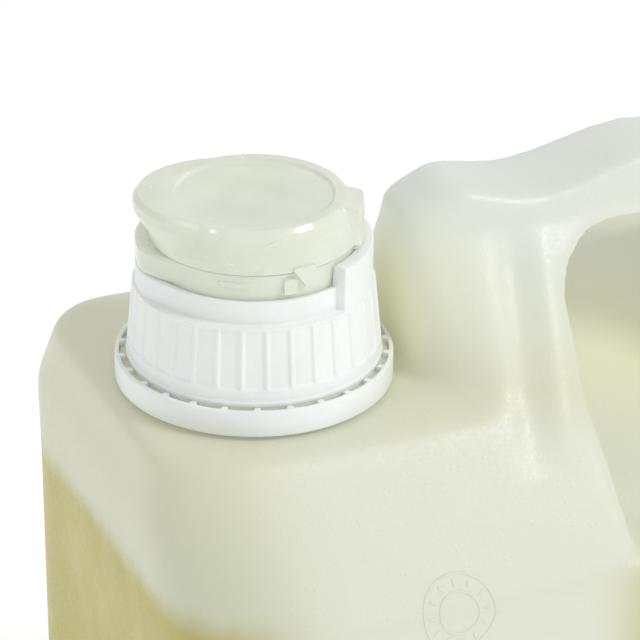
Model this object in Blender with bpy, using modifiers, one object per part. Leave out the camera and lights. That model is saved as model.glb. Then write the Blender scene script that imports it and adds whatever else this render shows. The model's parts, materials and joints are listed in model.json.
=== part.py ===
"""Five-litre detergent dispenser bottle: a blow-moulded canister with a built-in handle, its liquid, and a
threaded pouring closure with a tamper-evident ring and a hinged lid.

Metres, +Z up. The origin is the middle of the base. +X runs from the closure to the handle.
The closure has its own frame: its origin is on the neck's axis at the top of the tamper ring, and its +X
points from the pouring lip to the lid's hinge.
"""

import math

import bmesh
import bpy
from mathutils import Matrix, Vector

MM = 0.001

# ---- canister ----
BODY_LENGTH = 212 * MM
BODY_WIDTH = 139 * MM
SHOULDER_Z = 188 * MM
DECK_RISE = 38 * MM
CORNER_R = 28 * MM
SHOULDER_BEND_RISE = 20 * MM
SHOULDER_BEND_INSET = 1.2 * MM
SHOULDER_BEND_R = 25 * MM
SHOULDER_BEND_BACK_INSET = 1.5 * MM
DECK_INSET = 4.5 * MM
DECK_BACK_INSET = 11.5 * MM
DECK_R = 21 * MM
WALL = 1.5 * MM
FOOT_WIDTH = 8 * MM
BASE_RECESS = 2 * MM
LIQUID_DROP = 1 * MM

# ---- handle ----
HANDLE_RISE = 48 * MM
HANDLE_ARCH = 6.5 * MM
HANDLE_SIDE_DROP = 12 * MM
HANDLE_WIDTH = 25 * MM
GRIP_HEIGHT = 16 * MM
NOSE_GAP = 2 * MM
NOSE_LENGTH = 30 * MM
NOSE_BLUNTNESS = 0.72
NOSE_BROW_DROP = 13 * MM
NOSE_SLANT = 16 * MM
REAR_LEAN = 10 * MM
FRONT_POST_LENGTH = 37 * MM
REAR_POST_LENGTH = 28 * MM
HAND_HOLE_LEAN = 4 * MM
HAND_HOLE_FLOOR_DROP = 21 * MM
HAND_HOLE_R = 18 * MM
FLOOR_FALL = 0.21
FLOOR_BACK_RISE = 0.35

# ---- neck ----
NECK_INSET = 42 * MM
NECK_BORE_R = 24.2 * MM
NECK_WALL = 2.4 * MM
NECK_HEIGHT = 22.5 * MM
THREAD_DEPTH = 1.2 * MM
THREAD_PITCH = 4 * MM
THREAD_TURNS = 1.5
THREAD_RIDGE = 1.7 * MM
THREAD_START = 11 * MM
BEAD_DEPTH = 1.6 * MM
BEAD_LIFT = 3.6 * MM
BEAD_HEIGHT = 2 * MM

# ---- collar and tamper ring ----
CLOSURE_TURN = math.radians(-28)
FIT_GAP = 0.3 * MM
THREAD_GAP = 0.5 * MM
RING_REACH = 3.8 * MM
RING_HEIGHT = 7 * MM
RING_LIFT = 1 * MM
RING_WALL = 1.4 * MM
WEB_THICKNESS = 1.3 * MM
SLOT_WIDTH = 1.7 * MM
BRIDGE_COUNT = 26
BRIDGE_WIDTH = 1.2 * MM
SKIRT_FLARE = 2.9 * MM
SKIRT_WALL = 0.8 * MM
SKIRT_FOOT = 1.6 * MM
UPPER_WALL = 2.8 * MM
LOW_RIM_WALL = 1.2 * MM
HIGH_WALL_LIFT = 11 * MM
LOW_RIM_LIFT = 5.6 * MM
NOTCH_ANGLE = math.radians(112)
RIB_COUNT = 32
RIB_WIDTH = 1.1 * MM
RIB_DEPTH = 0.55 * MM
SHELF_THICKNESS = 1.5 * MM
GASKET_THICKNESS = 1.4 * MM

# ---- insert and lid ----
INSERT_SETBACK = 2.9 * MM
INSERT_WALL = 1.2 * MM
FLANGE_THICKNESS = 1.3 * MM
RIM_LIFT = 1 * MM
FUNNEL_LIFT = 3.2 * MM
SPOUT_BORE_R = 9 * MM
SPOUT_WALL = 1.1 * MM
SPOUT_HEIGHT = 14.5 * MM
LID_WALL = 1.3 * MM
LID_ROUND_R = 5.2 * MM
LID_HEIGHT = 10.4 * MM
LID_TAPER = 2.4 * MM
LID_BAND = 1.6 * MM
LID_RECESS = 0.8 * MM
PLUG_DEPTH = 2.2 * MM
PLUG_GAP = 0.6 * MM
LIP_LENGTH = 4.1 * MM
LIP_WIDTH = 29 * MM
LIP_TAPER = 4.5 * MM
LIP_DEPTH = 7 * MM
STRAP_LENGTH = 1.6 * MM
STRAP_WIDTH = 13 * MM
STRAP_THICKNESS = 1.4 * MM
HINGE_LIFT = 1.4 * MM

# ---- mesh ----
ROUND_STEPS = 44
ARC_STEPS = 6
LID_ARC_STEPS = 4
SKIN_VOXEL = 2.2 * MM
SKIN_SMOOTHING = 9
SKIN_TRIANGLES = 2600
CLEAR = 60 * MM
CUT_SPARE = 6 * MM
BASE_DROP = 5 * MM
THREAD_END = 0.15
OVERLAP = 0.4 * MM
OVERLAP_SLIGHT = 0.1 * MM
WELD = 0.00002

# ---- worked out from the sizes above; a closure height is measured from the top of the tamper ring ----
LEFT = -BODY_LENGTH / 2
RIGHT = BODY_LENGTH / 2
HALF_WIDTH = BODY_WIDTH / 2
SHOULDER_BEND_Z = SHOULDER_Z + SHOULDER_BEND_RISE
DECK_Z = SHOULDER_Z + DECK_RISE
LIQUID_Z = SHOULDER_Z - LIQUID_DROP
HANDLE_TOP_Z = DECK_Z + HANDLE_RISE
HANDLE_SIDE_Z = HANDLE_TOP_Z - HANDLE_SIDE_DROP
NOSE_BROW_Z = HANDLE_TOP_Z - NOSE_BROW_DROP
HAND_HOLE_FLOOR_Z = DECK_Z - HAND_HOLE_FLOOR_DROP
NECK_X = LEFT + NECK_INSET
NECK_R = NECK_BORE_R + NECK_WALL
THREAD_R = NECK_R + THREAD_DEPTH
COLLAR_BORE_R = THREAD_R + THREAD_GAP
SKIRT_R = COLLAR_BORE_R + SKIRT_FLARE
RING_R = SKIRT_R + RING_REACH
RING_TOP_Z = DECK_Z + RING_LIFT + RING_HEIGHT
INSERT_R = COLLAR_BORE_R - INSERT_SETBACK
LID_TOP_R = INSERT_R - LID_TAPER
LIP_REACH = INSERT_R + LIP_LENGTH
STRAP_REACH = INSERT_R + STRAP_LENGTH
SLOPE_RUN = (HALF_WIDTH - HANDLE_WIDTH / 2) / (HANDLE_SIDE_Z - SHOULDER_Z)
NOSE_X = NECK_X + RING_R + NOSE_GAP
HOLE_LEFT = NOSE_X + FRONT_POST_LENGTH
HOLE_RIGHT = RIGHT - REAR_POST_LENGTH
HAND_HOLE_LENGTH = HOLE_RIGHT - HOLE_LEFT
NECK_TOP = DECK_Z + NECK_HEIGHT - RING_TOP_Z
GASKET_Z = NECK_TOP + FIT_GAP
FLANGE_Z = GASKET_Z + GASKET_THICKNESS + FIT_GAP
SHELF_Z = FLANGE_Z + FLANGE_THICKNESS + FIT_GAP
LEDGE_Z = SHELF_Z + SHELF_THICKNESS
SHELF_BORE_R = INSERT_R + FIT_GAP
UPPER_WALL_R = SHELF_BORE_R + UPPER_WALL
HIGH_WALL_Z = LEDGE_Z + HIGH_WALL_LIFT
LOW_RIM_Z = LEDGE_Z + LOW_RIM_LIFT
FLANGE_R = COLLAR_BORE_R - FIT_GAP
RIM_Z = HIGH_WALL_Z + RIM_LIFT
FUNNEL_Z = LEDGE_Z + FUNNEL_LIFT
SPOUT_TOP = FUNNEL_Z + SPOUT_HEIGHT
LID_Z = RIM_Z + FIT_GAP
LID_TOP = LID_Z + LID_HEIGHT
HINGE_X = STRAP_REACH
HINGE_Z = HIGH_WALL_Z + HINGE_LIFT


def clear_scene():
    for obj in list(bpy.data.objects):
        bpy.data.objects.remove(obj)


def new_collection(name):
    collection = bpy.data.collections.new(name)
    bpy.context.scene.collection.children.link(collection)
    return collection


def new_material(name, color, roughness, transmission=0.0):
    material = bpy.data.materials.new(name)
    material.use_nodes = True
    shader = material.node_tree.nodes["Principled BSDF"]
    shader.inputs["Base Color"].default_value = (*color, 1)
    shader.inputs["Roughness"].default_value = roughness
    shader.inputs["Metallic"].default_value = 0
    shader.inputs["Transmission Weight"].default_value = transmission
    material.diffuse_color = (*color, 1)
    return material


clear_scene()
PART = new_collection("detergent_dispenser_bottle")
CUTTERS = new_collection("cutters")


# ---- shape helpers ----

def add_object(name, mesh, collection=CUTTERS):
    obj = bpy.data.objects.new(name, mesh)
    collection.objects.link(obj)
    if collection is CUTTERS:
        obj.hide_render = True
        obj.display_type = "WIRE"
    return obj


def mesh_from(name, bm):
    bmesh.ops.recalc_face_normals(bm, faces=bm.faces)
    mesh = bpy.data.meshes.new(name)
    bm.to_mesh(mesh)
    bm.free()
    return mesh


def loft(name, rings):
    """A closed body through rings that have the same number of points."""
    bm = bmesh.new()
    loops = [[bm.verts.new(point) for point in ring] for ring in rings]
    count = len(loops[0])
    for lower, upper in zip(loops, loops[1:]):
        for i in range(count):
            j = (i + 1) % count
            bm.faces.new((lower[i], lower[j], upper[j], upper[i]))
    bm.faces.new(loops[0])
    bm.faces.new(loops[-1])
    return add_object(name, mesh_from(name, bm))


def swept(name, profile, start, end, steps):
    """A body whose (radius, height) profile sweeps round Z from one angle to another."""
    rings = []
    for i in range(steps + 1):
        angle = start + (end - start) * i / steps
        rings.append([(r * math.cos(angle), r * math.sin(angle), z) for r, z in profile])
    return loft(name, rings)


def turned(name, profile, cyclic=True):
    """A (radius, height) profile, down its outer side first, turned a full circle about Z."""
    points = [(r, 0, z) for r, z in profile]
    edges = [(i, i + 1) for i in range(len(points) - 1)]
    if cyclic:
        edges.append((len(points) - 1, 0))
    mesh = bpy.data.meshes.new(name)
    mesh.from_pydata(points, edges, [])
    obj = add_object(name, mesh)
    screw = obj.modifiers.new("turn", "SCREW")
    screw.steps = ROUND_STEPS
    screw.render_steps = ROUND_STEPS
    screw.use_merge_vertices = True
    screw.merge_threshold = WELD
    return obj


def prism(name, outline, thickness, matrix):
    """A flat outline in its own XY plane, extruded evenly to both sides of it."""
    curve = bpy.data.curves.new(name, "CURVE")
    curve.dimensions = "2D"
    curve.fill_mode = "BOTH"
    curve.extrude = thickness / 2
    spline = curve.splines.new("POLY")
    spline.points.add(len(outline) - 1)
    for point, (x, y) in zip(spline.points, outline):
        point.co = (x, y, 0, 1)
    spline.use_cyclic_u = True
    flat = add_object(name, curve)
    flat.matrix_world = matrix
    bpy.context.view_layer.update()
    solid = flat.evaluated_get(bpy.context.evaluated_depsgraph_get())
    bm = bmesh.new()
    bm.from_mesh(bpy.data.meshes.new_from_object(solid))
    bm.transform(matrix)
    bmesh.ops.remove_doubles(bm, verts=bm.verts, dist=WELD)
    bpy.data.objects.remove(flat)
    return add_object(name, mesh_from(name, bm))


def block(name, low, high):
    bm = bmesh.new()
    size = [b - a for a, b in zip(low, high)]
    middle = [(a + b) / 2 for a, b in zip(low, high)]
    bmesh.ops.create_cube(bm, size=1, matrix=Matrix.Translation(middle) @ Matrix.Diagonal((*size, 1)))
    return add_object(name, mesh_from(name, bm))


def rounded_outline(corners):
    """The outline through (x, y, radius) corners, each rounded by an arc of that radius."""
    outline = []
    for i, (x, y, radius) in enumerate(corners):
        here = Vector((x, y))
        back = (Vector(corners[i - 1][:2]) - here).normalized()
        ahead = (Vector(corners[(i + 1) % len(corners)][:2]) - here).normalized()
        half = back.angle(ahead) / 2
        centre = here + (back + ahead).normalized() * radius / math.sin(half)
        first = here + back * radius / math.tan(half) - centre
        last = here + ahead * radius / math.tan(half) - centre
        turn = math.atan2(first.cross(last), first.dot(last))
        for step in range(ARC_STEPS + 1):
            outline.append(tuple(centre + Matrix.Rotation(turn * step / ARC_STEPS, 2) @ first))
    return outline


def section(z, left, right, front, back, radius):
    """A level rounded rectangle of the canister."""
    corners = [(right, front), (right, back), (left, back), (left, front)]
    return [(x, y, z) for x, y in rounded_outline([(x, y, radius) for x, y in corners])]


def combine(obj, operation, *others):
    """Adds Boolean modifiers; each other shape is parented to the piece, so that it follows it."""
    for other in others:
        other.parent = obj
        modifier = obj.modifiers.new(f"{operation.lower()}_{other.name}", "BOOLEAN")
        modifier.operation = operation
        modifier.object = other
        modifier.solver = "EXACT"
    return obj


def finish(obj, name, material, parent=None):
    """Moves a finished piece from the cutters to the part, with its name, material and parent."""
    CUTTERS.objects.unlink(obj)
    PART.objects.link(obj)
    obj.name = name
    obj.hide_render = False
    obj.display_type = "TEXTURED"
    obj.data.materials.append(material)
    obj.parent = parent
    return obj


def empty(name, location, turn=0.0, parent=None):
    obj = bpy.data.objects.new(name, None)
    PART.objects.link(obj)
    obj.location = location
    obj.rotation_euler.z = turn
    obj.parent = parent
    return obj


# ---- canister ----

def side_half_width(z):
    """Half the width of the canister between its sloped front and back panels."""
    return min(HALF_WIDTH, HANDLE_WIDTH / 2 + SLOPE_RUN * max(0.0, HANDLE_SIDE_Z - z))


def lower_body():
    """The canister below its handle. Its front slopes back above the shoulder; its back stays nearly upright."""
    levels = [
        (-BASE_DROP, 0.0, 0.0, CORNER_R),
        (SHOULDER_Z, 0.0, 0.0, CORNER_R),
        (SHOULDER_BEND_Z, SHOULDER_BEND_INSET, SHOULDER_BEND_BACK_INSET, SHOULDER_BEND_R),
        (DECK_Z, DECK_INSET, DECK_BACK_INSET, DECK_R),
    ]
    return loft("lower_body", [
        section(z, LEFT + inset, RIGHT - inset, -side_half_width(z), HALF_WIDTH - back_inset, radius)
        for z, inset, back_inset, radius in levels
    ])


def nosed_section(z, left, right, half_width):
    """A level section of the handle, with half of a blunt ellipse at each end."""
    def blunt(value):
        return math.copysign(abs(value) ** NOSE_BLUNTNESS, value)

    ring = []
    for middle_x, start in ((right - NOSE_LENGTH, -math.pi / 2), (left + NOSE_LENGTH, math.pi / 2)):
        for step in range(2 * ARC_STEPS + 1):
            angle = start + math.pi * step / (2 * ARC_STEPS)
            ring.append((middle_x + NOSE_LENGTH * blunt(math.cos(angle)), half_width * blunt(math.sin(angle)), z))
    return ring


def handle_body():
    rings = []
    for z in (SHOULDER_Z - CORNER_R, SHOULDER_Z, DECK_Z, NOSE_BROW_Z, HANDLE_SIDE_Z, HANDLE_TOP_Z):
        slant = max(0.0, z - NOSE_BROW_Z) / (HANDLE_TOP_Z - NOSE_BROW_Z)
        fall = max(0.0, z - SHOULDER_Z) / (HANDLE_TOP_Z - SHOULDER_Z)
        rings.append(nosed_section(z, NOSE_X + NOSE_SLANT * slant, RIGHT - REAR_LEAN * fall, side_half_width(z)))
    return loft("handle_body", rings)


def handle_arch():
    """What is cut off the top of the handle: it is highest over the hand hole, and dips at each end of it."""
    middle = (HOLE_LEFT + HOLE_RIGHT) / 2
    left = NECK_X - middle
    right = RIGHT + WALL - middle
    outline = [(middle + right, HANDLE_TOP_Z + CLEAR), (middle + left, HANDLE_TOP_Z + CLEAR)]
    for step in range(ROUND_STEPS + 1):
        x = left + (right - left) * step / ROUND_STEPS
        drop = HANDLE_ARCH * (1 - math.cos(2 * math.pi * x / HAND_HOLE_LENGTH)) / 2
        outline.append((middle + x, HANDLE_TOP_Z - drop))
    return prism("handle_arch", outline, 2 * BODY_WIDTH, Matrix.Rotation(math.pi / 2, 4, "X"))


def hand_hole():
    top = HANDLE_TOP_Z - GRIP_HEIGHT
    bottom = SHOULDER_Z - CLEAR
    low_left = HOLE_LEFT + HAND_HOLE_LEAN
    low_right = HOLE_RIGHT - HAND_HOLE_LEAN
    corners = [(HOLE_LEFT, top), (HOLE_RIGHT, top), (low_right, bottom), (low_left, bottom)]
    outline = rounded_outline([(x, z, HAND_HOLE_R) for x, z in corners])
    across = Matrix.Rotation(math.pi / 2, 4, "X")
    hole = prism("hand_hole", outline, 2 * BODY_WIDTH, across)
    front_z = HAND_HOLE_FLOOR_Z - FLOOR_FALL * BODY_WIDTH
    back_y = HAND_HOLE_FLOOR_DROP / FLOOR_BACK_RISE
    base_z = bottom - CLEAR
    floor = [(0, HAND_HOLE_FLOOR_Z), (-BODY_WIDTH, front_z), (-BODY_WIDTH, base_z), (BODY_WIDTH, base_z),
             (BODY_WIDTH, DECK_Z), (back_y, DECK_Z)]
    along = Matrix(((0, 0, 1, 0), (1, 0, 0, 0), (0, 1, 0, 0), (0, 0, 0, 1)))
    saddle = prism("hand_hole_floor", floor, 2 * BODY_LENGTH, along)
    return combine(hole, "DIFFERENCE", saddle)


def skin(name, inset):
    """The canister's smooth outside without its neck, or the same shape inset by a distance."""
    obj = lower_body()
    obj.name = name
    combine(obj, "UNION", handle_body())
    combine(obj, "DIFFERENCE", handle_arch(), hand_hole())
    remesh = obj.modifiers.new("even_mesh", "REMESH")
    remesh.mode = "VOXEL"
    remesh.voxel_size = SKIN_VOXEL
    smooth = obj.modifiers.new("soft_edges", "SMOOTH")
    smooth.factor = 0.5
    smooth.iterations = SKIN_SMOOTHING
    if inset:
        shrink = obj.modifiers.new("inset", "DISPLACE")
        shrink.mid_level = 0
        shrink.strength = -inset
        again = obj.modifiers.new("even_inset", "REMESH")
        again.mode = "VOXEL"
        again.voxel_size = SKIN_VOXEL
    count = len(obj.evaluated_get(bpy.context.evaluated_depsgraph_get()).data.polygons)
    thin = obj.modifiers.new("thin_out", "DECIMATE")
    thin.ratio = SKIN_TRIANGLES / (2 * count)
    return obj


def base_cut(name, height, footprint=0.0):
    """Everything below a height, or, with a footprint inset, the recess inside the foot."""
    if not footprint:
        return block(name, (LEFT - CLEAR, -BODY_WIDTH, -CLEAR), (RIGHT + CLEAR, BODY_WIDTH, height))
    half = HALF_WIDTH - footprint
    low = section(-CLEAR, LEFT + footprint, RIGHT - footprint, -half, half, CORNER_R - footprint)
    return loft(name, [low, [(x, y, height) for x, y, _ in low]])


def thread(name, root_r, crest_r, start_z):
    """A helical ridge between two radii, whichever is the larger, that fades in and out at its ends."""
    steps = int(ROUND_STEPS * THREAD_TURNS)
    rings = []
    for i in range(steps + 1):
        angle = 2 * math.pi * THREAD_TURNS * i / steps
        fade = min(1.0, 8 * min(i, steps - i) / steps)
        z = start_z + THREAD_PITCH * THREAD_TURNS * i / steps
        crest = root_r + (crest_r - root_r) * (THREAD_END + (1 - THREAD_END) * fade)
        buried = root_r - math.copysign(OVERLAP, crest_r - root_r)
        wide = THREAD_RIDGE / 2
        narrow = THREAD_RIDGE / 4
        profile = [(buried, z - wide), (crest, z - narrow), (crest, z + narrow), (buried, z + wide)]
        rings.append([(r * math.cos(angle), r * math.sin(angle), h) for r, h in profile])
    return loft(name, rings)


def neck():
    bead_low = DECK_Z + BEAD_LIFT
    bead_r = NECK_R + BEAD_DEPTH
    profile = [(0, DECK_Z + NECK_HEIGHT), (NECK_R, DECK_Z + NECK_HEIGHT), (NECK_R, bead_low + BEAD_HEIGHT),
               (bead_r, bead_low + BEAD_HEIGHT / 3), (bead_r, bead_low), (NECK_R, bead_low),
               (NECK_R, DECK_Z - WALL / 2), (0, DECK_Z - WALL / 2)]
    obj = turned("neck", profile, cyclic=False)
    obj.location.x = NECK_X
    return obj


def make_canister(material):
    canister = skin("canister_skin", 0)
    combine(canister, "DIFFERENCE", base_cut("base_plane", 0))
    combine(canister, "DIFFERENCE", base_cut("base_recess", BASE_RECESS, FOOT_WIDTH))
    ridge = thread("neck_thread", NECK_R, THREAD_R, DECK_Z + THREAD_START)
    ridge.location.x = NECK_X
    combine(canister, "UNION", neck(), ridge)
    cavity = skin("cavity", WALL)
    combine(cavity, "DIFFERENCE", base_cut("cavity_floor", BASE_RECESS + WALL))
    bore_top = DECK_Z + NECK_HEIGHT + WALL
    bore_base = DECK_Z - 4 * WALL
    bore = turned("neck_bore", [(0, bore_top), (NECK_BORE_R, bore_top), (NECK_BORE_R, bore_base), (0, bore_base)],
                  cyclic=False)
    bore.location.x = NECK_X
    combine(canister, "DIFFERENCE", cavity, bore)
    return finish(canister, "canister", material)


def make_liquid(material):
    liquid = skin("liquid_skin", WALL + 2 * FIT_GAP)
    combine(liquid, "DIFFERENCE", base_cut("liquid_floor", BASE_RECESS + WALL + FIT_GAP))
    low = (LEFT - CLEAR, -BODY_WIDTH, LIQUID_Z)
    high = (RIGHT + CLEAR, BODY_WIDTH, LIQUID_Z + 3 * CLEAR)
    above = block("liquid_level", low, high)
    combine(liquid, "DIFFERENCE", above)
    return finish(liquid, "detergent_fill", material)


# ---- closure ----

def spokes(name, count, r_in, r_out, width, low, high, top_r_out=None):
    """Equal radial bars round the closure's axis, as one object; the bars may lean in towards their top."""
    top_r_out = top_r_out or r_out
    bm = bmesh.new()
    for i in range(count):
        turn = Matrix.Rotation(2 * math.pi * i / count, 4, "Z")
        bar = bmesh.ops.create_cube(bm, size=1)["verts"]
        for vert in bar:
            top = vert.co.z > 0
            outer = top_r_out if top else r_out
            inner = r_in - (r_out - top_r_out) if top else r_in
            vert.co = turn @ Vector((outer if vert.co.x > 0 else inner, vert.co.y * width, high if top else low))
    return add_object(name, mesh_from(name, bm))


def make_tamper_ring(material, closure):
    web_in = SKIRT_R + FIT_GAP + SLOT_WIDTH
    inner = RING_R - RING_WALL
    hook_r = NECK_R + 2 * FIT_GAP
    hook_top = RING_WALL - RING_HEIGHT
    ring = turned("ring", [
        (web_in, 0), (RING_R - WEB_THICKNESS / 2, 0), (RING_R, -WEB_THICKNESS / 2), (RING_R, -RING_HEIGHT),
        (hook_r, -RING_HEIGHT), (hook_r, hook_top), (inner, hook_top), (inner, -WEB_THICKNESS), (web_in, -WEB_THICKNESS),
    ])
    bridges = spokes("bridges", BRIDGE_COUNT, SKIRT_R + FIT_GAP, web_in + OVERLAP, BRIDGE_WIDTH,
                     -WEB_THICKNESS + OVERLAP / 2, -OVERLAP / 2)
    combine(ring, "UNION", bridges)
    return finish(ring, "tamper_ring", material, closure)


def notch(name, middle):
    rim_r = SHELF_BORE_R + LOW_RIM_WALL
    far = UPPER_WALL_R + CUT_SPARE
    top = HIGH_WALL_Z + CUT_SPARE
    profile = [(rim_r, LEDGE_Z), (far, LEDGE_Z), (far, top), (SHELF_BORE_R - WALL, top),
               (SHELF_BORE_R - WALL, LOW_RIM_Z), (rim_r, LOW_RIM_Z)]
    return swept(name, profile, middle - NOTCH_ANGLE / 2, middle + NOTCH_ANGLE / 2, ROUND_STEPS // 3)


def make_collar(material, closure):
    top_skirt_r = COLLAR_BORE_R + SKIRT_WALL
    chamfer = LOW_RIM_WALL / 2
    rib_top = LEDGE_Z - chamfer
    collar = turned("collar", [
        (SHELF_BORE_R, HIGH_WALL_Z), (UPPER_WALL_R - chamfer, HIGH_WALL_Z), (UPPER_WALL_R, HIGH_WALL_Z - chamfer),
        (UPPER_WALL_R, LEDGE_Z), (top_skirt_r, rib_top), (SKIRT_R - RIB_DEPTH, SKIRT_FOOT), (SKIRT_R, SKIRT_FOOT / 2),
        (SKIRT_R, -WEB_THICKNESS), (COLLAR_BORE_R, -WEB_THICKNESS), (COLLAR_BORE_R, SHELF_Z), (SHELF_BORE_R, SHELF_Z),
    ])
    ribs = spokes("ribs", RIB_COUNT, SKIRT_R - 2 * RIB_DEPTH, SKIRT_R, RIB_WIDTH, SKIRT_FOOT / 4, rib_top - chamfer,
                  top_skirt_r + RIB_DEPTH)
    ridge = thread("collar_thread", COLLAR_BORE_R, NECK_R + THREAD_GAP,
                   DECK_Z + THREAD_START - RING_TOP_Z - THREAD_PITCH / 2)
    ridge.rotation_euler.z = -CLOSURE_TURN
    combine(collar, "UNION", ribs, ridge)
    combine(collar, "DIFFERENCE", notch("front_notch", -math.pi / 2), notch("back_notch", math.pi / 2))
    return finish(collar, "screw_collar", material, closure)


def make_gasket(material, closure):
    gasket = turned("gasket", [
        (NECK_R, GASKET_Z + GASKET_THICKNESS), (NECK_R, GASKET_Z), (NECK_BORE_R, GASKET_Z),
        (NECK_BORE_R, GASKET_Z + GASKET_THICKNESS),
    ])
    return finish(gasket, "neck_gasket", material, closure)


def make_insert(material, closure):
    inner_r = INSERT_R - INSERT_WALL
    spout_r = SPOUT_BORE_R + SPOUT_WALL
    floor_low = FUNNEL_Z - INSERT_WALL
    insert = turned("insert", [
        (INSERT_R, RIM_Z), (INSERT_R, FLANGE_Z + FLANGE_THICKNESS), (FLANGE_R, FLANGE_Z + FLANGE_THICKNESS),
        (FLANGE_R, FLANGE_Z), (inner_r, FLANGE_Z), (inner_r, floor_low), (SPOUT_BORE_R, floor_low),
        (SPOUT_BORE_R, SPOUT_TOP), (spout_r, SPOUT_TOP), (spout_r, FUNNEL_Z), (inner_r, FUNNEL_Z), (inner_r, RIM_Z),
    ])
    lug = block("hinge_lug", (INSERT_R - INSERT_WALL / 2, -STRAP_WIDTH / 2, HIGH_WALL_Z + FIT_GAP),
                (STRAP_REACH, STRAP_WIDTH / 2, RIM_Z - OVERLAP_SLIGHT))
    combine(insert, "UNION", lug)
    return finish(insert, "spout_insert", material, closure)


def lid_side(r_add, low, high):
    """The lid's domed side, from its crown to its rim."""
    points = []
    rim_r = INSERT_R + r_add
    crown_r = LID_TOP_R + r_add
    for i in range(LID_ARC_STEPS + 1):
        angle = math.pi / 2 * (1 - i / LID_ARC_STEPS)
        reach = crown_r - LID_ROUND_R + LID_ROUND_R * math.cos(angle)
        points.append((reach, high - LID_ROUND_R * (1 - math.sin(angle))))
    points.append((rim_r, low + LID_WALL))
    points.append((rim_r, low))
    return points


def make_lid(material, hinge):
    recess_r = LID_TOP_R - LID_ROUND_R - LID_BAND / 4
    dish_z = LID_TOP - LID_RECESS
    outside = [(0, dish_z), (recess_r - LID_RECESS, dish_z)] + lid_side(0, LID_Z, LID_TOP) + [(0, LID_Z)]
    lid = turned("lid", outside, cyclic=False)
    lip_x = LIP_WIDTH / 2 - LIP_REACH
    bm = bmesh.new()
    seat = Matrix.Translation((lip_x, 0, LID_TOP - LIP_DEPTH / 2))
    bmesh.ops.create_cone(bm, cap_ends=True, segments=ROUND_STEPS // 2, radius1=LIP_WIDTH / 2 - LIP_TAPER,
                          radius2=LIP_WIDTH / 2, depth=LIP_DEPTH, matrix=seat)
    lip = add_object("lip", mesh_from("lip", bm))
    strap = block("strap", (STRAP_REACH - 4 * STRAP_THICKNESS, -STRAP_WIDTH / 2, HINGE_Z),
                  (STRAP_REACH, STRAP_WIDTH / 2, LID_TOP - LID_RECESS))
    combine(lid, "UNION", lip, strap)
    under = LID_TOP - LID_RECESS - LID_WALL
    plug_r = SPOUT_BORE_R - PLUG_GAP
    plug_base = SPOUT_TOP - PLUG_DEPTH
    hollow = turned("lid_hollow", [(0, under), *lid_side(-LID_WALL, LID_Z, under)[:-1],
                                   (INSERT_R - LID_WALL, LID_Z - LID_WALL), (0, LID_Z - LID_WALL)], cyclic=False)
    plug = turned("plug", [(plug_r, under + OVERLAP), (plug_r, plug_base), (plug_r - LID_WALL, plug_base),
                           (plug_r - LID_WALL, under + OVERLAP)])
    combine(lid, "DIFFERENCE", hollow)
    combine(lid, "UNION", plug)
    lid.location = (-HINGE_X, 0, -HINGE_Z)
    return finish(lid, "flip_lid", material, hinge)


NATURAL_PE = new_material("natural_polyethylene", (0.83, 0.86, 0.78), 0.32, 0.35)
DETERGENT = new_material("detergent", (0.80, 0.74, 0.36), 0.05, 0.6)
WHITE_PP = new_material("white_polypropylene", (0.9, 0.92, 0.9), 0.35)
CLEAR_PP = new_material("clear_polypropylene", (0.86, 0.89, 0.84), 0.15, 0.6)
FOAM = new_material("foam_gasket", (0.85, 0.86, 0.83), 0.7)

CLOSURE = empty("closure_frame", (NECK_X, 0, RING_TOP_Z), CLOSURE_TURN)
LID_HINGE = empty("lid_hinge_axis", (HINGE_X, 0, HINGE_Z), 0.0, CLOSURE)

make_canister(NATURAL_PE)
make_liquid(DETERGENT)
make_tamper_ring(WHITE_PP, CLOSURE)
make_collar(WHITE_PP, CLOSURE)
make_gasket(FOAM, CLOSURE)
make_insert(CLEAR_PP, CLOSURE)
make_lid(CLEAR_PP, LID_HINGE)
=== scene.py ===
"""Looks of the detergent dispenser bottle: a milky canister of yellow detergent with a pouring closure."""
import json
import math

import bmesh
import bpy
import numpy as np
from mathutils import Matrix, Vector
from mathutils.bvhtree import BVHTree


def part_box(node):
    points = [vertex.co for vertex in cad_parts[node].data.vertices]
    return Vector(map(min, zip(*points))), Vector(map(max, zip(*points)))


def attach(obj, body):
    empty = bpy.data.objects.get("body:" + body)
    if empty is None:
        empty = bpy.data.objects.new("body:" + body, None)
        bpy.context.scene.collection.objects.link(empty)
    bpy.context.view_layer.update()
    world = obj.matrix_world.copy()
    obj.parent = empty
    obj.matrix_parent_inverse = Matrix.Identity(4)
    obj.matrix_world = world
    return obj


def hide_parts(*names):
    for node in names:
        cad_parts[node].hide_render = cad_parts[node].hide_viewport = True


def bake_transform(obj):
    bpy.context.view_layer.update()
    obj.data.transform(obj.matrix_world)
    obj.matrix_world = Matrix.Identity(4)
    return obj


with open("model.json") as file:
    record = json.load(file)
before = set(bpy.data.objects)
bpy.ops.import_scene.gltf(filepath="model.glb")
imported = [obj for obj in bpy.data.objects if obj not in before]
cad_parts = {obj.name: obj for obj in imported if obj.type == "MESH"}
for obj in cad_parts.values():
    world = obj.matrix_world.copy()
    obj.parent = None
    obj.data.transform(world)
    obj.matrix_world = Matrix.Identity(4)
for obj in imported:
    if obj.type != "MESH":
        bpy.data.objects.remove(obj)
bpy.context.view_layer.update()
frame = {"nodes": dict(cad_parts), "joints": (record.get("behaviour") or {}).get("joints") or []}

MM = 0.001

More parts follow.
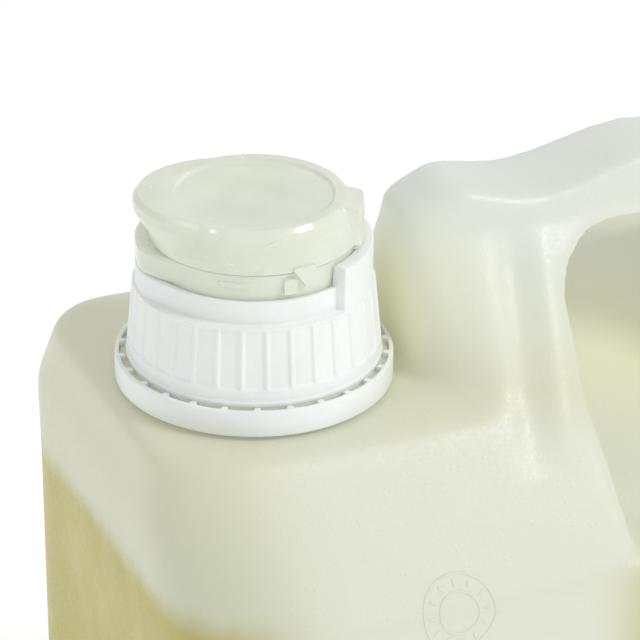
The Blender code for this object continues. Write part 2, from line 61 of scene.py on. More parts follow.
# ---- places read from the frame ----
can_low, can_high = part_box("canister")
fill_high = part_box("detergent_fill")[1]
ring_low, ring_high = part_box("tamper_ring")
collar_low, collar_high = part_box("screw_collar")
insert_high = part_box("spout_insert")[1]
lid_low, lid_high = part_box("flip_lid")
lid_joint = next(joint for joint in frame["joints"] if joint["name"] == "lid_hinge")
BODY_LENGTH = can_high.x - can_low.x
BODY_WIDTH = can_high.y - can_low.y
HANDLE_TOP_Z = can_high.z
LIQUID_Z = fill_high.z
NECK_X = (ring_low.x + ring_high.x) / 2
RING_TOP_Z = ring_high.z
RING_HEIGHT = ring_high.z - ring_low.z
RING_R = (ring_high.x - ring_low.x) / 2
CLOSURE_TURN = math.atan2(-lid_joint["axis"][0], lid_joint["axis"][1])
CLOSURE = Matrix.Translation((NECK_X, 0, RING_TOP_Z)) @ Matrix.Rotation(CLOSURE_TURN, 4, "Z")

# ---- canister ----
SHOULDER_Z = 188 * MM
DECK_Z = ring_low.z - 1 * MM
CORNER_R = 28 * MM
SHOULDER_BEND_Z = 208 * MM
SHOULDER_BEND_INSET = 0.2 * MM
SHOULDER_BEND_R = 24 * MM
DECK_INSET = 3.5 * MM
DECK_R = 20 * MM
WALL = 1.5 * MM
FOOT_WIDTH = 8 * MM
BASE_RECESS = 2 * MM
HANDLE_ARCH = 6.5 * MM
HANDLE_SIDE_Z = 262 * MM
HANDLE_WIDTH = 25 * MM
GRIP_HEIGHT = 16 * MM
NOSE_GAP = 1.6 * MM
NOSE_LENGTH = 30 * MM
NOSE_BLUNTNESS = 0.66
NOSE_BROW_Z = 266 * MM
NOSE_SLANT = 15 * MM
NOSE_BACK_SWELL = 3.5 * MM
REAR_LEAN = 10 * MM
FRONT_POST_LENGTH = 37 * MM
HAND_HOLE_LENGTH = 68 * MM
HAND_HOLE_LEAN = 4 * MM
HAND_HOLE_FLOOR_Z = 205 * MM
HAND_HOLE_R = 18 * MM
FLOOR_FALL = 0.21
FLOOR_BACK_RISE = 0.35
DECK_BACK_DEPTH = 58 * MM
BEND_BACK_DEPTH = 68 * MM
NECK_BORE_R = 24.2 * MM
NECK_WALL = 2.4 * MM
NECK_HEIGHT = 22.5 * MM
THREAD_DEPTH = 1.2 * MM
THREAD_PITCH = 4 * MM
THREAD_TURNS = 1.5
THREAD_RIDGE = 1.7 * MM
THREAD_START = 11 * MM
THREAD_SINK = 0.4 * MM
THREAD_END_SHARE = 0.15
THREAD_CLEARANCE = 0.5 * MM
BEAD_LIFT = 4.5 * MM
BEAD_HEIGHT = 2 * MM
SKIN_VOXEL = 1.25 * MM
SKIN_SMOOTHING = 28
INSIDE_VOXEL = 2.5 * MM
EDGE_ARC = 6
CLEAR = 60 * MM
WELD = 0.001 * MM
LIQUID_GAP = 0.6 * MM
LIQUID_FLOOR_GAP = 0.3 * MM
RIDGE_FROM_NECK = 64 * MM
RIDGE_LEAN = 8 * MM
RIDGE_FOOT_DROP = 18 * MM
RIDGE_LENGTH = 46 * MM
RIDGE_WIDTH = 3.5 * MM
RIDGE_HEIGHT = 0.7 * MM
VALLEY_FROM_RIDGE = 9 * MM
VALLEY_WIDTH = 4.5 * MM
VALLEY_DEPTH = 1.3 * MM
FILLET_DROP = 3 * MM
FILLET_SPREAD = 9 * MM
FILLET_SMOOTHING = 90
MARK_FROM_NECK = 25.4 * MM
MARK_RISE = 1 * MM
MARK_TILT = math.radians(68)
MARK_RING_RADII = (9.5 * MM, 5.2 * MM)
MARK_TICK_COUNT = 12
MARK_TICK_R = 7.4 * MM
MARK_TICK_LENGTH = 2.2 * MM
MARK_TICK_WIDTH = 0.7 * MM
MARK_BEAD = 0.3 * MM

# ---- closure, as heights above the tamper ring and radii from the neck's axis ----
ROUND_STEPS = 160
RIB_COUNT = 32
RIB_DEPTH = 0.5 * MM
RIB_HALF = 0.55 * MM
SKIRT_FOOT_R = 31.7 * MM
SKIRT_HEAD_R = 30.3 * MM
SKIRT_LIP = 0.4 * MM
LEDGE_Z = 19.6 * MM
WALL_R = 29.4 * MM
LOW_RIM_R = 27.2 * MM
RIM_BORE_R = 25.8 * MM
LOW_RIM_Z = 25.4 * MM
HIGH_WALL_Z = collar_high.z - RING_TOP_Z
COLLAR_FOOT_Z = collar_low.z - RING_TOP_Z
COLLAR_BORE_R = 28.3 * MM
SHELF_Z = 18.1 * MM
WALL_HALF_ANGLE = math.radians(37)
WALL_STEP_ANGLE = math.radians(1.6)
GUARD_STEP_ANGLE = math.radians(30)
BRIDGE_COUNT = 26
SLOT_IN_R = 32.2 * MM
SLOT_OUT_R = 33.8 * MM
LID_TOP = lid_high.z - RING_TOP_Z
LID_FOOT = lid_low.z - RING_TOP_Z
INSERT_TOP = insert_high.z - RING_TOP_Z
GUARD_R = 29.3 * MM
INSERT_WALL_R = 25.4 * MM
INSERT_IN_R = 24.2 * MM
INSERT_FLOOR_Z = 22.8 * MM
INSERT_FLOOR = 1.2 * MM
FLANGE_R = 28 * MM
FLANGE_LOW_Z = 16.5 * MM
FLANGE_HIGH_Z = 17.8 * MM
SPOUT_R = 10.1 * MM
SPOUT_BORE_R = 9 * MM
HINGE_SHELF = 1.4 * MM
LUG_DEPTH = 0.35 * MM
LUG_ANGLE = math.radians(95)
LID_GAP = 0.3 * MM
LID_RECESS = 0.9 * MM
LID_UNDERSIDE = 2.1 * MM
PLUG_R = 8.4 * MM
PLUG_BORE_R = 7.2 * MM
PLUG_DEPTH = 7.2 * MM
# The lid's side from its top down, in millimetres: radius, drop, rounding, and share of the lip's reach.
LID_SIDE = ((22.4, 0, 0.6, 1.0), (23.5, 1.4, 0.9, 1.0), (24.4, 3.6, 1.2, 0.85), (25.1, 6.2, 1.0, 0.45),
            (25.6, 8.2, 0.4, 0.15))
LIP_ANGLE = math.radians(181)
LIP_HALF_ANGLE = math.radians(60)
LIP_REACH = 6.2 * MM
STRAP_HALF_ANGLE = math.radians(15)
STRAP_STEP_ANGLE = math.radians(3)
STRAP_R = 27 * MM
FILM_THICKNESS = 0.45 * MM
FILM_STEPS = 10
TOOTH_ANGLE = math.radians(-57)
TOOTH_TIP_Z = 27.4 * MM
# The catch blocks' names, angles in degrees, and half widths, low ends and high ends in millimetres.
CATCHES = (("front_catch", -65, 1.6, 26.6, 30.4), ("lip_catch", 196, 1.4, 26.2, 28.2))

NECK_R = NECK_BORE_R + NECK_WALL
LEFT = can_low.x
RIGHT = can_high.x
HALF_WIDTH = BODY_WIDTH / 2
NOSE_X = NECK_X + RING_R + NOSE_GAP
HOLE_LEFT = NOSE_X + FRONT_POST_LENGTH
HOLE_RIGHT = HOLE_LEFT + HAND_HOLE_LENGTH
SLOPE_RUN = (HALF_WIDTH - HANDLE_WIDTH / 2) / (HANDLE_SIDE_Z - SHOULDER_Z)
FACING_FRONT = Matrix.Rotation(math.pi / 2, 4, "X")


# ---- shapes ----

def smoothstep(low, high, value):
    share = min(1.0, max(0.0, (value - low) / (high - low)))
    return share * share * (3 - 2 * share)


def wrapped(angle):
    return (angle + math.pi) % (2 * math.pi) - math.pi


def new_object(name, bm, smooth_angle=40):
    bmesh.ops.recalc_face_normals(bm, faces=bm.faces)
    mesh = bpy.data.meshes.new(name)
    bm.to_mesh(mesh)
    bm.free()
    obj = bpy.data.objects.new(name, mesh)
    bpy.context.scene.collection.objects.link(obj)
    mesh.shade_smooth()
    mesh.set_sharp_from_angle(angle=math.radians(smooth_angle))
    return obj


def baked(obj, smooth_angle=40):
    """The object with its modifiers applied."""
    mesh = bpy.data.meshes.new_from_object(obj.evaluated_get(bpy.context.evaluated_depsgraph_get()))
    obj.modifiers.clear()
    obj.data = mesh
    mesh.shade_smooth()
    mesh.set_sharp_from_angle(angle=math.radians(smooth_angle))
    return obj


def loft(name, rings):
    bm = bmesh.new()
    loops = [[bm.verts.new(point) for point in ring] for ring in rings]
    count = len(loops[0])
    for lower, upper in zip(loops, loops[1:]):
        for i in range(count):
            j = (i + 1) % count
            bm.faces.new((lower[i], lower[j], upper[j], upper[i]))
    bm.faces.new(loops[0])
    bm.faces.new(loops[-1])
    return new_object(name, bm)


def polar_loft(name, profile_at, angles, matrix, smooth_angle=40):
    """A ring-like body: at each angle, profile_at gives the same number of (radius, height) points."""
    bm = bmesh.new()
    loops = []
    for angle in angles:
        across, along = math.cos(angle), math.sin(angle)
        loops.append([bm.verts.new((r * across, r * along, z)) for r, z in profile_at(angle)])
    count = len(loops[0])
    for here, there in zip(loops, loops[1:] + loops[:1]):
        for i in range(count):
            j = (i + 1) % count
            bm.faces.new((here[i], here[j], there[j], there[i]))
    bmesh.ops.remove_doubles(bm, verts=bm.verts, dist=WELD)
    bmesh.ops.dissolve_degenerate(bm, edges=bm.edges, dist=WELD)
    bm.transform(matrix)
    return new_object(name, bm, smooth_angle)


def even_angles(count):
    return [2 * math.pi * i / count for i in range(count)]


def rounded_outline(corners, steps=EDGE_ARC):
    """The closed outline through (x, y, radius) corners, each rounded by an arc."""
    outline = []
    for i, (x, y, radius) in enumerate(corners):
        here = Vector((x, y))
        back = (Vector(corners[i - 1][:2]) - here).normalized()
        ahead = (Vector(corners[(i + 1) % len(corners)][:2]) - here).normalized()
        half = back.angle(ahead) / 2
        centre = here + (back + ahead).normalized() * radius / math.sin(half)
        first = here + back * radius / math.tan(half) - centre
        last = here + ahead * radius / math.tan(half) - centre
        turn = math.atan2(first.cross(last), first.dot(last))
        for step in range(steps + 1):
            outline.append(tuple(centre + Matrix.Rotation(turn * step / steps, 2) @ first))
    return outline


def extruded(name, outline, thickness, matrix):
    rings = [[matrix @ Vector((x, y, side * thickness / 2)) for x, y in outline] for side in (-1, 1)]
    return loft(name, rings)


def cut_or_join(obj, operation, other):
    modifier = obj.modifiers.new(other.name, "BOOLEAN")
    modifier.operation = operation
    modifier.object = other
    modifier.solver = "EXACT"
    baked(obj)
    bpy.data.objects.remove(other)
    return obj


# ---- canister shape ----

def side_half_width(z):
    return min(HALF_WIDTH, HANDLE_WIDTH / 2 + SLOPE_RUN * max(0.0, HANDLE_SIDE_Z - z))


def level_section(z, inset, radius, back=HALF_WIDTH):
    front = side_half_width(z)
    corners = [(RIGHT - inset, -front), (RIGHT - inset, back), (LEFT + inset, back), (LEFT + inset, -front)]
    return [(x, y, z) for x, y in rounded_outline([(x, y, radius) for x, y in corners])]


def blunt(value):
    return math.copysign(abs(value) ** NOSE_BLUNTNESS, value)


def nosed_section(z):
    """The handle's blunt-ended outline at a height, fuller at the back."""
    slant = max(0.0, z - NOSE_BROW_Z) / (HANDLE_TOP_Z - NOSE_BROW_Z)
    fall = max(0.0, z - SHOULDER_Z) / (HANDLE_TOP_Z - SHOULDER_Z)
    half_width = side_half_width(z)
    swell = NOSE_BACK_SWELL * smoothstep(SHOULDER_Z, DECK_Z, z)
    swell *= 1 - smoothstep(NOSE_BROW_Z - 4 * MM, HANDLE_TOP_Z, z)
    back_width = half_width + swell
    ends = ((RIGHT - REAR_LEAN * fall - NOSE_LENGTH, -math.pi / 2),
            (NOSE_X + NOSE_SLANT * slant + NOSE_LENGTH, math.pi / 2))
    ring = []
    for middle_x, start in ends:
        for step in range(4 * EDGE_ARC + 1):
            angle = start + math.pi * step / (4 * EDGE_ARC)
            x = middle_x + NOSE_LENGTH * blunt(math.cos(angle))
            ring.append((x, (half_width if math.sin(angle) < 0 else back_width) * blunt(math.sin(angle)), z))
    return ring


def handle_arch():
    """What is cut away above the handle's wavy top."""
    middle = (HOLE_LEFT + HOLE_RIGHT) / 2
    left = NECK_X - middle
    right = RIGHT + WALL - middle
    outline = [(middle + right, HANDLE_TOP_Z + CLEAR), (middle + left, HANDLE_TOP_Z + CLEAR)]
    for step in range(ROUND_STEPS + 1):
        x = left + (right - left) * step / ROUND_STEPS
        drop = HANDLE_ARCH * (1 - math.cos(2 * math.pi * x / HAND_HOLE_LENGTH)) / 2
        outline.append((middle + x, HANDLE_TOP_Z - drop))
    return extruded("handle_arch", outline, 2 * BODY_WIDTH, FACING_FRONT)


def hand_hole():
    """What is cut away through the handle, down to the well's sloping floor."""
    top = HANDLE_TOP_Z - GRIP_HEIGHT
    bottom = SHOULDER_Z - CLEAR
    corners = [(HOLE_LEFT, top), (HOLE_RIGHT, top), (HOLE_RIGHT - HAND_HOLE_LEAN, bottom),
               (HOLE_LEFT + HAND_HOLE_LEAN, bottom)]
    outline = rounded_outline([(x, z, HAND_HOLE_R) for x, z in corners], 2 * EDGE_ARC)
    hole = extruded("hand_hole", outline, 2 * BODY_WIDTH, FACING_FRONT)
    front_z = HAND_HOLE_FLOOR_Z - FLOOR_FALL * BODY_WIDTH
    base_z = bottom - CLEAR
    back_y = (DECK_Z - HAND_HOLE_FLOOR_Z) / FLOOR_BACK_RISE
    floor = [(0, HAND_HOLE_FLOOR_Z), (-BODY_WIDTH, front_z), (-BODY_WIDTH, base_z), (BODY_WIDTH, base_z),
             (BODY_WIDTH, DECK_Z), (back_y, DECK_Z)]
    along = Matrix(((0, 0, 1, 0), (1, 0, 0, 0), (0, 1, 0, 0), (0, 0, 0, 1)))
    return cut_or_join(hole, "DIFFERENCE", extruded("hand_hole_floor", floor, 2 * BODY_LENGTH, along))


def canister_skin():
    """The canister's smooth outside without its neck."""
    skin = loft("canister_skin", [
        level_section(-5 * MM, 0, CORNER_R),
        level_section(SHOULDER_Z, 0, CORNER_R),
        level_section(SHOULDER_BEND_Z, SHOULDER_BEND_INSET, SHOULDER_BEND_R, BEND_BACK_DEPTH),
        level_section(DECK_Z, DECK_INSET, DECK_R, DECK_BACK_DEPTH),
    ])
    heights = (SHOULDER_Z - CORNER_R, SHOULDER_Z, DECK_Z, HANDLE_SIDE_Z, NOSE_BROW_Z, HANDLE_TOP_Z)
    cut_or_join(skin, "UNION", loft("handle", [nosed_section(z) for z in heights]))
    cut_or_join(skin, "DIFFERENCE", handle_arch())
    cut_or_join(skin, "DIFFERENCE", hand_hole())
    remesh = skin.modifiers.new("even_mesh", "REMESH")
    remesh.mode = "VOXEL"
    remesh.voxel_size = SKIN_VOXEL
    smooth = skin.modifiers.new("soft_edges", "SMOOTH")
    smooth.factor = 0.5
    smooth.iterations = SKIN_SMOOTHING
    return baked(skin)


def moulded_relief(skin):
    """Raises the upright ridge beside the hand hole and sinks the valley next to it, front and back."""
    mesh = skin.data
    count = len(mesh.vertices)
    co = np.empty(count * 3, np.float32)
    normal = np.empty(count * 3, np.float32)
    mesh.vertices.foreach_get("co", co)
    mesh.vertices.foreach_get("normal", normal)
    co = co.reshape(-1, 3).astype(float)
    normal = normal.reshape(-1, 3).astype(float)
    height = (co[:, 2] - (RING_TOP_Z - RIDGE_FOOT_DROP)) / RIDGE_LENGTH
    ridge_x = NECK_X + RIDGE_FROM_NECK + RIDGE_LEAN * height
    fade = np.clip(np.minimum((height + 0.12) / 0.25, (1.05 - height) / 0.25), 0, 1)
    fade *= np.clip((np.abs(co[:, 1]) - 9 * MM) / (6 * MM), 0, 1)
    offset = co[:, 0] - ridge_x
    ridge = RIDGE_HEIGHT * np.exp(-(offset / RIDGE_WIDTH) ** 2)
    valley = VALLEY_DEPTH * np.exp(-((offset + VALLEY_FROM_RIDGE) / VALLEY_WIDTH) ** 2)
    co += normal * ((ridge - valley) * fade)[:, None]
    mesh.vertices.foreach_set("co", co.astype(np.float32).ravel())
    mesh.update()


def soften_shoulder(skin):
    """Rounds the long edge between the deck and the sloping front and back more than the other edges."""
    group = skin.vertex_groups.new(name="shoulder_edge")
    for vertex in skin.data.vertices:
        x, y, z = vertex.co
        near = math.exp(-((z - DECK_Z + FILLET_DROP) / FILLET_SPREAD) ** 2)
        near *= smoothstep(NECK_X - 30 * MM, NECK_X + 5 * MM, x) * smoothstep(15 * MM, 26 * MM, abs(y))
        if near > 0.02:
            group.add([vertex.index], near, "REPLACE")
    smooth = skin.modifiers.new("shoulder_fillet", "SMOOTH")
    smooth.factor = 0.5
    smooth.iterations = FILLET_SMOOTHING
    smooth.vertex_group = group.name
    return baked(skin)


def offset_copy(skin, name, inset):
    """The space inside the skin, an inset away from it."""
    obj = bpy.data.objects.new(name, skin.data.copy())
    bpy.context.scene.collection.objects.link(obj)
    shrink = obj.modifiers.new("inset", "DISPLACE")
    shrink.mid_level = 0
    shrink.strength = -inset
    remesh = obj.modifiers.new("even_mesh", "REMESH")
    remesh.mode = "VOXEL"
    remesh.voxel_size = INSIDE_VOXEL
    return baked(obj)


def slab(name, low_z, high_z, inset=None):
    """Everything between two heights, or only what is an inset within the canister's footprint."""
    if inset is None:
        far_left = LEFT - CLEAR
        far_right = RIGHT + CLEAR
        outline = [(far_left, -BODY_WIDTH), (far_right, -BODY_WIDTH), (far_right, BODY_WIDTH),
                   (far_left, BODY_WIDTH)]
    else:
        half = HALF_WIDTH - inset
        corners = [(RIGHT - inset, -half), (RIGHT - inset, half), (LEFT + inset, half), (LEFT + inset, -half)]
        outline = rounded_outline([(x, y, CORNER_R - inset) for x, y in corners])
    return loft(name, [[(x, y, z) for x, y in outline] for z in (low_z, high_z)])


def neck_shape():
    """The neck with the ledge that keeps the tamper band on, without its thread and bore."""
    bead_low = DECK_Z + BEAD_LIFT
    top = DECK_Z + NECK_HEIGHT
    root = DECK_Z - 2 * MM
    ledge_r = SLOT_OUT_R - 0.15 * MM
    bead_high = bead_low + BEAD_HEIGHT
    profile = [(0, top), (NECK_R - 0.5 * MM, top), (NECK_R, top - 0.5 * MM), (NECK_R, bead_high),
               (ledge_r - 0.5 * MM, bead_high), (ledge_r, bead_low + 1.5 * MM), (ledge_r, bead_low),
               (NECK_R, bead_low), (NECK_R, DECK_Z + 2 * MM), (NECK_R + 1.2 * MM, DECK_Z + 0.6 * MM),
               (NECK_R + 3 * MM, DECK_Z - 0.2 * MM), (NECK_R + 3 * MM, root), (0, root)]
    return turned_on_neck("neck", profile)


def turned_on_neck(name, profile):
    """The (radius, height) profile turned round the neck's axis."""
    place = Matrix.Translation((NECK_X, 0, 0))
    return polar_loft(name, lambda angle: profile, even_angles(ROUND_STEPS), place)


def thread_ridge(name, wall_r, rise, start_z):
    """A thread's ridge wound on a round wall, standing out by rise, or inward where that is negative."""
    steps = int(ROUND_STEPS * THREAD_TURNS)
    root = wall_r - math.copysign(THREAD_SINK, rise)
    wide = THREAD_RIDGE / 2
    rings = []
    for i in range(steps + 1):
        angle = 2 * math.pi * THREAD_TURNS * i / steps
        fade = min(1.0, 8 * min(i, steps - i) / steps)
        z = start_z + THREAD_PITCH * THREAD_TURNS * i / steps
        crest = wall_r + rise * (THREAD_END_SHARE + (1 - THREAD_END_SHARE) * fade)
        profile = [(root, z - wide), (crest, z - wide / 2), (crest, z + wide / 2), (root, z + wide)]
        rings.append([(NECK_X + r * math.cos(angle), r * math.sin(angle), h) for r, h in profile])
    return loft(name, rings)


def make_canister():
    """The hollow canister, and the detergent standing in it."""
    skin = soften_shoulder(canister_skin())
    moulded_relief(skin)
    cavity = offset_copy(skin, "cavity", WALL)
    cut_or_join(cavity, "DIFFERENCE", slab("cavity_floor", -CLEAR, BASE_RECESS + WALL))
    liquid = offset_copy(skin, "liquid", WALL + LIQUID_GAP)
    cut_or_join(liquid, "DIFFERENCE", slab("liquid_floor", -CLEAR, BASE_RECESS + WALL + LIQUID_FLOOR_GAP))
    cut_or_join(liquid, "DIFFERENCE", slab("liquid_top", LIQUID_Z, LIQUID_Z + 3 * CLEAR))
    cut_or_join(skin, "DIFFERENCE", slab("base_plane", -CLEAR, 0))
    cut_or_join(skin, "DIFFERENCE", slab("base_recess", -CLEAR, BASE_RECESS, FOOT_WIDTH))
    cut_or_join(skin, "UNION", neck_shape())
    cut_or_join(skin, "UNION", thread_ridge("neck_thread", NECK_R, THREAD_DEPTH, DECK_Z + THREAD_START))
    bore_top = DECK_Z + NECK_HEIGHT + WALL
    bore_base = DECK_Z - 4 * WALL
    bore_profile = [(0, bore_top), (NECK_BORE_R, bore_top), (NECK_BORE_R, bore_base), (0, bore_base)]
    bore = turned_on_neck("bore", bore_profile)
    cut_or_join(skin, "DIFFERENCE", cavity)
    cut_or_join(skin, "DIFFERENCE", bore)
    skin.data.shade_smooth()
    skin.name = "canister_shell"
    liquid.name = "detergent"
    return skin, liquid


# ---- closure shapes ----

def rib_share(angle):
    """1 on a rib's crest and 0 between the ribs."""
    pitch = 2 * math.pi / RIB_COUNT
    offset = abs((angle + pitch / 2) % pitch - pitch / 2) * SKIRT_FOOT_R
    return 1 - smoothstep(RIB_HALF * 0.4, RIB_HALF * 1.7, offset)


def side_share(angle, middle, step):
    """1 within the wall span round the middle angle, falling to 0 over the step's angle at its ends."""
    away = abs(wrapped(angle - middle))
    return 1 - smoothstep(WALL_HALF_ANGLE - step / 2, WALL_HALF_ANGLE + step / 2, away)


def collar_profile(angle):
    rib = RIB_DEPTH * rib_share(angle)
    high = side_share(angle, 0, WALL_STEP_ANGLE)
    walled = max(high, side_share(angle, math.pi, GUARD_STEP_ANGLE))
    wall_r = LOW_RIM_R + (WALL_R - LOW_RIM_R) * walled
    wall_z = LOW_RIM_Z + (HIGH_WALL_Z - LOW_RIM_Z) * high
    top_round = 0.45 * MM
    corners = [
        (RIM_BORE_R, wall_z, top_round), (wall_r, wall_z, top_round), (wall_r, LEDGE_Z, 0.3 * MM),
        (SKIRT_HEAD_R - 0.2 * MM, LEDGE_Z - 0.3 * MM, 0.25 * MM),
        (SKIRT_HEAD_R - RIB_DEPTH + rib, LEDGE_Z - 1 * MM, 0.3 * MM),
        (SKIRT_FOOT_R - RIB_DEPTH + rib, 4.6 * MM, 0.3 * MM), (SKIRT_FOOT_R, 3.9 * MM, 0.2 * MM),
        (SKIRT_FOOT_R, 1.2 * MM, 0.2 * MM), (SKIRT_FOOT_R + SKIRT_LIP, 0.6 * MM, 0.2 * MM),
        (SKIRT_FOOT_R + SKIRT_LIP, -0.2 * MM, 0.1 * MM), (SKIRT_FOOT_R, -0.5 * MM, 0.1 * MM),
        (SKIRT_FOOT_R, COLLAR_FOOT_Z, 0.1 * MM), (COLLAR_BORE_R, COLLAR_FOOT_Z, 0.15 * MM),
        (COLLAR_BORE_R, SHELF_Z, 0.15 * MM), (RIM_BORE_R, SHELF_Z, 0.15 * MM),
    ]
    return rounded_outline(corners, 3)


def make_collar():
    pitch = 2 * math.pi / RIB_COUNT
    shares = (-2.2, -1.7, -1.3, -1, -0.7, -0.4, 0, 0.4, 0.7, 1, 1.3, 1.7, 2.2)
    near = [share * RIB_HALF / SKIRT_FOOT_R for share in shares]
    angles = [pitch * i + step for i in range(RIB_COUNT) for step in (*near, pitch / 2)]
    for side in (-1, 1):
        angles += [side * WALL_HALF_ANGLE + WALL_STEP_ANGLE * step / 6 for step in range(-3, 4)]
    angles = sorted({round(angle % (2 * math.pi), 4) for angle in angles})
    collar = polar_loft("ribbed_collar", collar_profile, angles, CLOSURE)
    inward = -(COLLAR_BORE_R - NECK_R - THREAD_CLEARANCE)
    ridge = thread_ridge("collar_thread", COLLAR_BORE_R, inward, DECK_Z + THREAD_START - THREAD_PITCH / 2)
    return cut_or_join(collar, "UNION", ridge)


def ring_profile(angle):
    pitch = 2 * math.pi / BRIDGE_COUNT
    offset = abs((angle + pitch / 2) % pitch - pitch / 2) * SLOT_IN_R
    bridge = 1 - smoothstep(0.6 * MM, 0.9 * MM, offset)
    web_in = SLOT_OUT_R + (SLOT_IN_R + 0.15 * MM - SLOT_OUT_R) * bridge
    foot = -RING_HEIGHT
    hook_r = NECK_R + 0.6 * MM
    hook_z = foot + 1.4 * MM
    inner_r = RING_R - 1 * MM
    corners = [
        (web_in, -0.1 * MM, 0.1 * MM), (RING_R - 0.1 * MM, 0, 0.5 * MM), (RING_R, foot, 0.6 * MM),
        (hook_r, foot, 0.3 * MM), (hook_r, hook_z, 0.3 * MM), (inner_r, hook_z, 0.3 * MM),
        (inner_r, -1.3 * MM, 0.1 * MM), (web_in, -1.3 * MM, 0.1 * MM),
    ]
    return rounded_outline(corners, 3)


def make_ring():
    pitch = 2 * math.pi / BRIDGE_COUNT
    along = (-0.85, -0.75, -0.65, -0.55, -0.2, 0.2, 0.55, 0.65, 0.75, 0.85)
    near = [distance * MM / SLOT_IN_R for distance in along]
    between = (pitch / 3, pitch / 2, 2 * pitch / 3)
    angles = [pitch * i + step for i in range(BRIDGE_COUNT) for step in (*near, *between)]
    angles = sorted(angle % (2 * math.pi) for angle in angles)
    return polar_loft("tamper_band", ring_profile, angles, CLOSURE)


def lip_share(angle):
    away = min(1.0, abs(wrapped(angle - LIP_ANGLE)) / LIP_HALF_ANGLE)
    return (0.5 + 0.5 * math.cos(math.pi * away)) ** 0.6


def strap_share(angle):
    half_step = STRAP_STEP_ANGLE / 2
    return 1 - smoothstep(STRAP_HALF_ANGLE - half_step, STRAP_HALF_ANGLE + half_step, abs(wrapped(angle)))


def lid_profile(angle):
    lip = LIP_REACH * lip_share(angle)
    strap = strap_share(angle)
    disc_z = LID_TOP - LID_RECESS
    under_z = LID_TOP - LID_UNDERSIDE

    def side(radius, z, corner, reach=0.0):
        radius += lip * reach
        if z < disc_z:
            radius += (STRAP_R - radius) * strap
        return (radius, z, corner)

    corners = [
        (19.2 * MM, disc_z, 0.4 * MM), (19.9 * MM, LID_TOP - 0.1 * MM, 0.25 * MM),
        *[side(r * MM, LID_TOP - drop * MM, corner * MM, reach) for r, drop, corner, reach in LID_SIDE],
        side(25.8 * MM, LID_FOOT, 0.2 * MM), (24.4 * MM, LID_FOOT, 0.2 * MM),
        (23.6 * MM, LID_TOP - 5 * MM, 1 * MM), (21 * MM, under_z, 1.2 * MM),
        (PLUG_R, under_z, 0.3 * MM), (PLUG_R - 0.1 * MM, LID_TOP - PLUG_DEPTH, 0.3 * MM),
        (PLUG_BORE_R, LID_TOP - PLUG_DEPTH, 0.3 * MM), (PLUG_BORE_R, under_z, 0.3 * MM),
    ]
    ring = rounded_outline(corners, 4)
    return [(0, disc_z), *ring, (0, under_z)]


def make_lid():
    return polar_loft("flip_top", lid_profile, even_angles(2 * ROUND_STEPS), CLOSURE)


def insert_profile(angle):
    lug = LUG_DEPTH * (1 - smoothstep(math.radians(8.5), math.radians(9.5), abs(wrapped(angle + LUG_ANGLE))))
    shelf = HINGE_SHELF * (1 - smoothstep(math.radians(14), math.radians(15), abs(wrapped(angle))))
    guard = (GUARD_R - INSERT_WALL_R) * side_share(angle, math.pi, GUARD_STEP_ANGLE)
    outer = INSERT_WALL_R + guard
    top = LID_FOOT - LID_GAP
    floor_low = INSERT_FLOOR_Z - INSERT_FLOOR
    corners = [
        (INSERT_IN_R, top, 0.3 * MM), (INSERT_WALL_R + 0.8 * guard + shelf, top, 0.2 * MM),
        (outer + shelf, top - 0.7 * MM, 0.2 * MM), (outer, top - 0.9 * MM, 0.1 * MM),
        (outer, 29.9 * MM, 0.1 * MM), (outer + lug, 29.7 * MM, 0.05 * MM),
        (outer + lug, 28.4 * MM, 0.05 * MM), (outer, 28.2 * MM, 0.1 * MM),
        (outer, LOW_RIM_Z + 0.3 * MM, 0.2 * MM), (INSERT_WALL_R, LOW_RIM_Z + 0.2 * MM, 0.05 * MM),
        (INSERT_WALL_R, FLANGE_HIGH_Z, 0.2 * MM), (FLANGE_R, FLANGE_HIGH_Z, 0.2 * MM),
        (FLANGE_R, FLANGE_LOW_Z, 0.2 * MM), (INSERT_IN_R, FLANGE_LOW_Z, 0.2 * MM),
        (INSERT_IN_R, floor_low, 0.2 * MM), (SPOUT_BORE_R, floor_low, 0.4 * MM),
        (SPOUT_BORE_R, INSERT_TOP, 0.3 * MM), (SPOUT_R, INSERT_TOP, 0.3 * MM),
        (SPOUT_R, INSERT_FLOOR_Z, 0.8 * MM), (INSERT_IN_R, INSERT_FLOOR_Z, 0.8 * MM),
    ]
    return rounded_outline(corners, 3)


def make_insert():
    return polar_loft("pouring_insert", insert_profile, even_angles(2 * ROUND_STEPS), CLOSURE)


def make_hinge_film():
    """The thin bending web between the insert's shelf and the lid's strap."""
    low = LID_FOOT - 0.9 * MM
    high = LID_FOOT + 1.3 * MM
    outer = STRAP_R - 0.05 * MM
    inner = outer - FILM_THICKNESS
    half = STRAP_HALF_ANGLE * 0.9
    front = [half * (2 * j / 8 - 1) for j in range(9)]
    outline = [(outer * math.cos(a), outer * math.sin(a)) for a in front]
    outline += [(inner * math.cos(a), inner * math.sin(a)) for a in reversed(front)]
    levels = [low + (high - low) * i / FILM_STEPS for i in range(FILM_STEPS + 1)]
    film = loft("hinge_film", [[CLOSURE @ Vector((x, y, z)) for x, y in outline] for z in levels])
    start = CLOSURE @ Vector((outer, 0, low + 0.4 * MM))
    end = CLOSURE @ Vector((outer, 0, high - 0.3 * MM))
    return film, start, end


def on_wall(name, outline, middle, inner_r, outer_r):
    """A small moulded lug: its (along, up) outline bent round the closure at the middle angle."""
    rings = []
    for r in (inner_r, outer_r):
        turns = [(middle + along / outer_r, up) for along, up in outline]
        rings.append([CLOSURE @ Vector((r * math.cos(a), r * math.sin(a), up)) for a, up in turns])
    return loft(name, rings)


